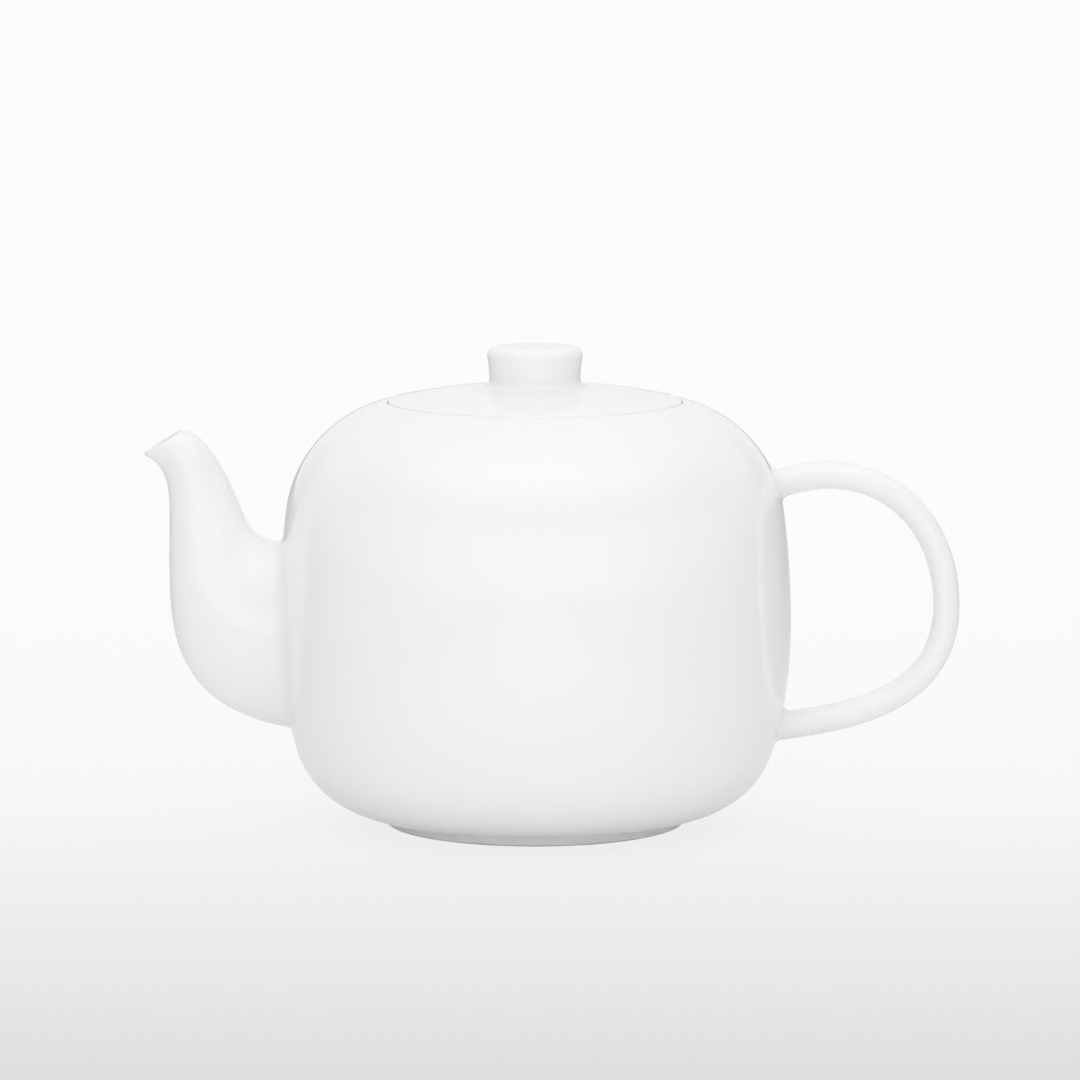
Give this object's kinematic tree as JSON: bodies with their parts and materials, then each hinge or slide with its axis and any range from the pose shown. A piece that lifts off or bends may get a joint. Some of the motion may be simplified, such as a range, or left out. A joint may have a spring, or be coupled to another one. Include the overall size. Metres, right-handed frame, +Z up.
{
  "type": "teapot",
  "caption": "Plain white glazed porcelain teapot: rounded barrel body on a low foot, tapering spout, C-shaped rod handle and a nearly flush domed lid with a flat button knob.",
  "frame": {"origin": "on the table under the middle of the pot's length, breadth and foot; the body's own axis is 4.8 mm to the spout's side of it", "axes": "+Z up, +X towards the handle, -X towards the spout"},
  "size_m": [0.2224, 0.14, 0.1307],
  "materials": {
    "glaze": "glossy clear glaze on white porcelain",
    "bare_clay": "matt, the unglazed tread of the foot"
  },
  "bodies": {
    "pot": {"pot_body": "glaze", "foot_ring": "bare_clay", "spout": "glaze", "handle": "glaze"},
    "lid": {"lid": "glaze", "lid_knob": "glaze"}
  },
  "joints": [
    {"name": "lid_lift", "type": "slide", "parent": "pot", "child": "lid", "axis": [0, 0, 1], "range_m": [0, 0.08]}
  ]
}
